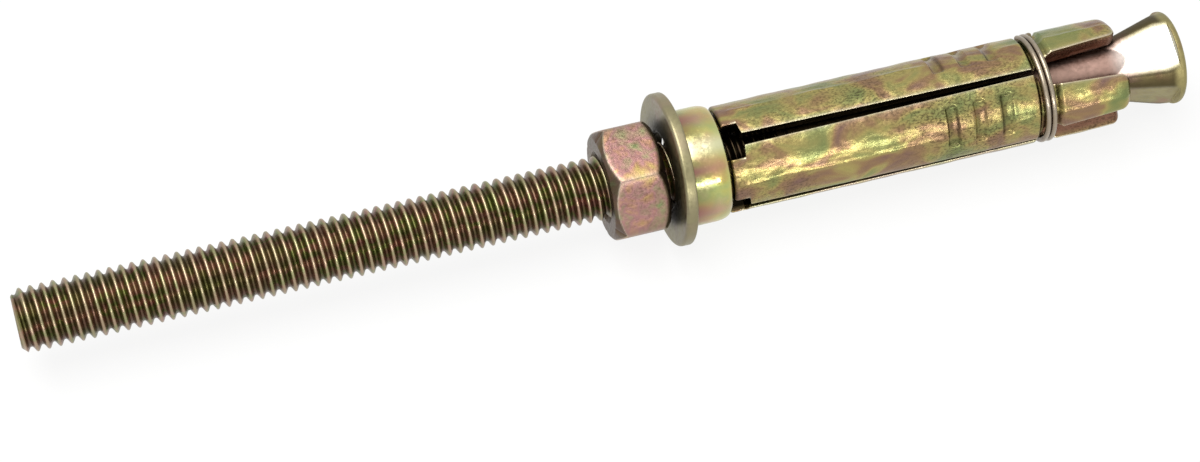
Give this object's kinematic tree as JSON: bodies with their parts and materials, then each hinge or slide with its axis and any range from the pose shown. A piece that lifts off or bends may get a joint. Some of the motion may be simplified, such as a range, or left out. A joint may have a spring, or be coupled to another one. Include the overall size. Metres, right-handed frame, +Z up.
{
  "type": "sleeve anchor",
  "caption": "Shield-type sleeve anchor: slotted expansion shield on a bolt with a tapered head, drawn up by a nut and washer on the projecting thread.",
  "frame": {"origin": "on the anchor's axis, where the shield reaches its full radius beside the ferrule", "axes": "+X along the axis towards the tapered head, which goes into the hole first; +Z up with the anchor lying on its side"},
  "size_m": [0.1076, 0.014, 0.0139],
  "materials": {
    "bolt": "satin",
    "nut": "satin",
    "washer": "satin",
    "ferrule": "satin",
    "shield": "satin",
    "ring": "satin"
  },
  "bodies": {
    "collar": {"ferrule": "ferrule", "washer": "washer", "spring_ring": "ring"},
    "nut": {"hex_nut": "nut"},
    "bolt": {"taper_bolt": "bolt"},
    "segment_1": {"segment_1": "shield"},
    "segment_2": {"segment_2": "shield"},
    "segment_3": {"segment_3": "shield"},
    "segment_4": {"segment_4": "shield"}
  },
  "joints": [
    {"name": "nut_turn", "type": "hinge", "parent": "collar", "child": "nut", "pos_m": [-0.009, 0, 0], "axis": [1, 0, 0], "range_deg": [0, 1350]},
    {"name": "bolt_draw", "type": "slide", "parent": "collar", "child": "bolt", "axis": [-1, 0, 0], "range_m": [0, 0.00375]},
    {"name": "flare_1", "type": "hinge", "parent": "collar", "child": "segment_1", "pos_m": [-0.00125, -0.00376, 0.00175], "axis": [0, -0.4226, -0.9063], "range_deg": [0, 1.29], "deforming": ["spring_ring"]},
    {"name": "flare_2", "type": "hinge", "parent": "collar", "child": "segment_2", "pos_m": [-0.00125, -0.00175, -0.00376], "axis": [0, 0.9063, -0.4226], "range_deg": [0, 1.29], "deforming": ["spring_ring"]},
    {"name": "flare_3", "type": "hinge", "parent": "collar", "child": "segment_3", "pos_m": [-0.00125, 0.00376, -0.00175], "axis": [0, 0.4226, 0.9063], "range_deg": [0, 1.29], "deforming": ["spring_ring"]},
    {"name": "flare_4", "type": "hinge", "parent": "collar", "child": "segment_4", "pos_m": [-0.00125, 0.00175, 0.00376], "axis": [0, -0.9063, 0.4226], "range_deg": [0, 1.29], "deforming": ["spring_ring"]}
  ],
  "couplings": [
    {"joint": "nut_turn", "follows": "bolt_draw", "rad_per_m": 6283.2},
    {"joint": "flare_1", "follows": "bolt_draw", "rad_per_m": 6},
    {"joint": "flare_2", "follows": "bolt_draw", "rad_per_m": 6},
    {"joint": "flare_3", "follows": "bolt_draw", "rad_per_m": 6},
    {"joint": "flare_4", "follows": "bolt_draw", "rad_per_m": 6}
  ]
}
